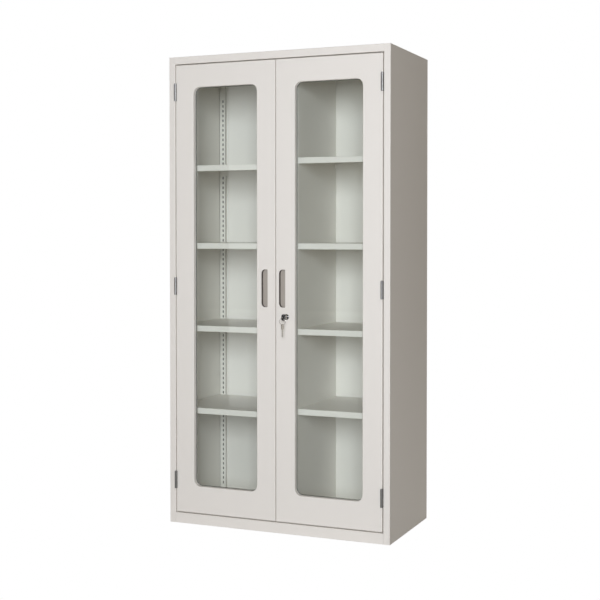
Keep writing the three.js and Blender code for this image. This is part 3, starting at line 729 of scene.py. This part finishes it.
class CABINET_OT_hinges(bpy.types.Operator):
    """Finishes the hinges and sets the screws in their leaves"""

    bl_idname = "cabinet.hinges"
    bl_label = "Hinges and screws"

    def execute(self, context):
        sizes = context.scene.cabinet_sizes
        group = screw_row_group()
        for side, sign in SIDES.items():
            for place in PLACES:
                hinge = f"{side}_{place}_hinge"
                finished(f"{hinge}_pin", smooth_below=SMOOTH_BARREL)
                for leaf in ("frame_leaf", "door_leaf"):
                    finished(f"{hinge}_{leaf}", smooth_below=SMOOTH_BARREL)
                    self.screws(sizes, group, f"{hinge}_{leaf}", sign)
        return {"FINISHED"}

    def screws(self, sizes, group, node, sign):
        """A row of screws on the side of a leaf that faces the other leaf."""
        points = [v.co for v in frame["nodes"][node].data.vertices if v.co.y > DOOR_FACE_Y]
        inner = min(abs(p.x) for p in points)
        outer = max(abs(p.x) for p in points)
        y = (max(p.y for p in points) + DOOR_FACE_Y) / 2
        z = (max(p.z for p in points) + min(p.z for p in points)) / 2
        half_head = sizes.screw_head / 2
        if node.endswith("frame_leaf"):
            x = inner - sizes.screw_proud + half_head
        else:
            x = outer + sizes.screw_proud - half_head
        first_z = z - (sizes.screw_count - 1) * sizes.screw_pitch / 2
        bar_length = RECESS_LENGTH * sizes.screw_radius
        bar_width = RECESS_WIDTH * sizes.screw_radius
        bar_depth = sizes.screw_head + 2 * sizes.screw_proud
        values = {
            "Radius": sizes.screw_radius,
            "Head": sizes.screw_head,
            "Bar": [bar_length, bar_width, bar_depth],
            "Cross Bar": [bar_width, bar_length, bar_depth],
            "Turn": SCREW_TURN,
            "First": [sign * x, y, first_z],
            "Pitch": sizes.screw_pitch,
            "Count": sizes.screw_count,
            "Material": finish_of("zinc_plate"),
        }
        settle(grown(f"{node}.screws", group, values), node)


class CABINET_OT_lock(bpy.types.Operator):
    """Finishes the cam lock, the key in it, the key ring and the spare key"""

    bl_idname = "cabinet.lock"
    bl_label = "Lock and keys"

    def execute(self, context):
        edge = context.scene.cabinet_sizes.edge_round
        finished("lock_body", edge)
        finished("key_head", KEY_HEAD_ROUND * edge)
        for node in ("lock_nut", "lock_plug", "lock_cam", "cam_screw", "key_blade", "spare_key"):
            finished(node)
        finished("key_ring", smooth_below=SMOOTH_WIRE)
        return {"FINISHED"}


class CABINET_OT_bolts(bpy.types.Operator):
    """Finishes the bolts of the left door and their guides"""

    bl_idname = "cabinet.bolts"
    bl_label = "Door bolts"

    def execute(self, context):
        for place in ("top", "bottom"):
            finished(f"left_{place}_bolt")
            finished(f"left_{place}_bolt_guide")
        return {"FINISHED"}


class CABINET_OT_stage(bpy.types.Operator):
    """Sets the floor, the room light, the softboxes, the card and the camera"""

    bl_idname = "cabinet.stage"
    bl_label = "Studio"

    def execute(self, context):
        stage = context.scene.cabinet_stage
        context.scene.view_settings.view_transform = "Standard"
        self.floor()
        self.room(context.scene, stage)
        key = self.softbox("key_softbox", KEY_PLACE, LIGHT_AIM, KEY_SIZE, stage.key_watts)
        key.data.color = stage.key_tint
        self.softbox("rear_softbox", REAR_PLACE, LIGHT_AIM, REAR_SIZE, stage.rear_watts)
        self.card(stage.card_watts)
        self.camera(context.scene, stage)
        return {"FINISHED"}

    def white_to_camera(self, tree, shaded, white, surface):
        """Where it looks past the cabinet, the camera sees white. Other rays meet shaded."""
        rays = add_node(tree, "ShaderNodeLightPath")
        mix = add_node(
            tree,
            "ShaderNodeMixShader",
            links=[("Fac", rays.outputs["Is Camera Ray"]), (1, shaded), (2, white)],
        )
        tree.links.new(mix.outputs["Shader"], surface)

    def floor(self):
        """A pale floor that the camera sees as plain white."""
        mesh = bpy.data.meshes.new("floor")
        half = FLOOR_HALF
        corners = [(-half, -half), (half, -half), (half, half), (-half, half)]
        mesh.from_pydata([(x, y, -FLOOR_DROP) for x, y in corners], [], [(0, 1, 2, 3)])
        floor = bpy.data.objects.new("floor", mesh)
        bpy.context.scene.collection.objects.link(floor)
        material, tree, shader = new_material("pale_floor", FLOOR_TINT)
        shader.inputs["Roughness"].default_value = FLOOR_ROUGHNESS
        glow = add_node(tree, "ShaderNodeEmission")
        surface = tree.nodes["Material Output"].inputs["Surface"]
        self.white_to_camera(tree, shader.outputs["BSDF"], glow.outputs["Emission"], surface)
        mesh.materials.append(material)

    def room(self, scene, stage):
        """A dim warm room that lights the cabinet from all sides."""
        world = bpy.data.worlds.new("studio_room")
        scene.world = world
        world.use_nodes = True
        tree = world.node_tree
        tree.nodes.clear()
        walls = add_node(
            tree,
            "ShaderNodeBackground",
            {"Color": (*stage.room_tint, 1), "Strength": stage.ambient},
        )
        white = add_node(tree, "ShaderNodeBackground", {"Color": (1, 1, 1, 1)})
        surface = add_node(tree, "ShaderNodeOutputWorld").inputs["Surface"]
        self.white_to_camera(
            tree, walls.outputs["Background"], white.outputs["Background"], surface
        )

    def softbox(self, name, place, aim, size, power):
        """A square light that the camera doesn't see."""
        light = bpy.data.lights.new(name, "AREA")
        light.size = size
        light.energy = power
        lamp = bpy.data.objects.new(name, light)
        lamp.location = place
        lamp.rotation_euler = (aim - place).to_track_quat("-Z", "Y").to_euler()
        lamp.visible_camera = False
        bpy.context.scene.collection.objects.link(lamp)
        return lamp

    def card(self, power):
        """A tall strip at the left that only the left pane and bright metal mirror."""
        straight_back = CARD_PLACE + Vector((0, 1, 0))
        card = self.softbox("pane_card", CARD_PLACE, straight_back, CARD_WIDTH, power)
        card.data.shape = "RECTANGLE"
        card.data.size_y = CARD_HEIGHT
        card.visible_diffuse = False
        card.visible_transmission = False

    def camera(self, scene, stage):
        """Stands at the right of the doors, at chest height, and looks very slightly down."""
        data = bpy.data.cameras.new("photo_camera")
        data.lens = stage.lens
        data.sensor_width = CAMERA_SENSOR
        data.shift_y = CAMERA_SHIFT
        data.dof.use_dof = False
        level = math.cos(CAMERA_TILT)
        ahead = Vector(
            (-math.sin(CAMERA_TURN) * level, math.cos(CAMERA_TURN) * level, math.sin(CAMERA_TILT))
        )
        camera = bpy.data.objects.new("photo_camera", data)
        camera.location = CAMERA_PLACE
        camera.rotation_euler = ahead.to_track_quat("-Z", "Y").to_euler()
        scene.collection.objects.link(camera)
        scene.camera = camera


BUILDERS = (
    CABINET_OT_body,
    CABINET_OT_uprights,
    CABINET_OT_shelves,
    CABINET_OT_doors,
    CABINET_OT_glazing,
    CABINET_OT_hinges,
    CABINET_OT_lock,
    CABINET_OT_bolts,
    CABINET_OT_stage,
)

GROUPS = {
    "cabinet_sizes": CabinetSizes,
    "cabinet_colours": CabinetColours,
    "cabinet_stage": CabinetStage,
}


class CABINET_PT_panel(bpy.types.Panel):
    """Sizes, colours and building steps of the cabinet"""

    bl_idname = "CABINET_PT_panel"
    bl_label = "Glass door cabinet"
    bl_space_type = "VIEW_3D"
    bl_region_type = "UI"
    bl_category = "Cabinet"

    def draw(self, context):
        for pointer, group in GROUPS.items():
            for name in group.__annotations__:
                self.layout.prop(getattr(context.scene, pointer), name)
        for builder in BUILDERS:
            self.layout.operator(builder.bl_idname)


CLASSES = (*GROUPS.values(), *BUILDERS, CABINET_PT_panel)


def register():
    for cls in CLASSES:
        bpy.utils.register_class(cls)
    for pointer, group in GROUPS.items():
        setattr(bpy.types.Scene, pointer, bpy.props.PointerProperty(type=group))


def unregister():
    for pointer in GROUPS:
        delattr(bpy.types.Scene, pointer)
    for cls in reversed(CLASSES):
        bpy.utils.unregister_class(cls)


def main():
    register()
    bpy.ops.cabinet.body()
    bpy.ops.cabinet.uprights()
    bpy.ops.cabinet.shelves()
    bpy.ops.cabinet.doors()
    bpy.ops.cabinet.glazing()
    bpy.ops.cabinet.hinges()
    bpy.ops.cabinet.lock()
    bpy.ops.cabinet.bolts()
    bpy.ops.cabinet.stage()


if __name__ == "__main__":
    main()
